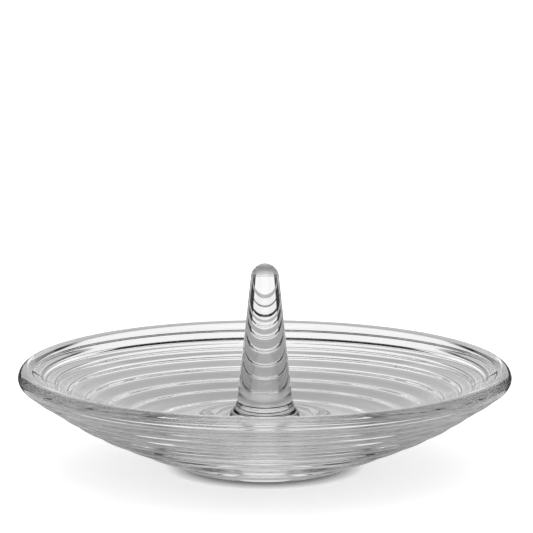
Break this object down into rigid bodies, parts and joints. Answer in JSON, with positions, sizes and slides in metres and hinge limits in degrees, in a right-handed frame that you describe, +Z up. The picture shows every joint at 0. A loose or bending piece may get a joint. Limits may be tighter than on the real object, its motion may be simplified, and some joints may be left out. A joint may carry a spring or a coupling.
{
  "type": "ring holder",
  "caption": "Shallow clear glass dish with stacked rings on its underside and a tapered post in the middle that holds finger rings.",
  "frame": {"origin": "centre of the flat foot, on the surface the dish stands on", "axes": "+Z up along the axis of the turned shape, through the post; X and Y are equal because the shape is round"},
  "size_m": [0.127, 0.127, 0.0531],
  "materials": {
    "dish_glass": "pressed clear glass, fire polished",
    "ring_post_glass": "solid clear glass, fire polished"
  },
  "bodies": {
    "root": {"dish": "dish_glass", "ring_post": "ring_post_glass"}
  },
  "joints": []
}
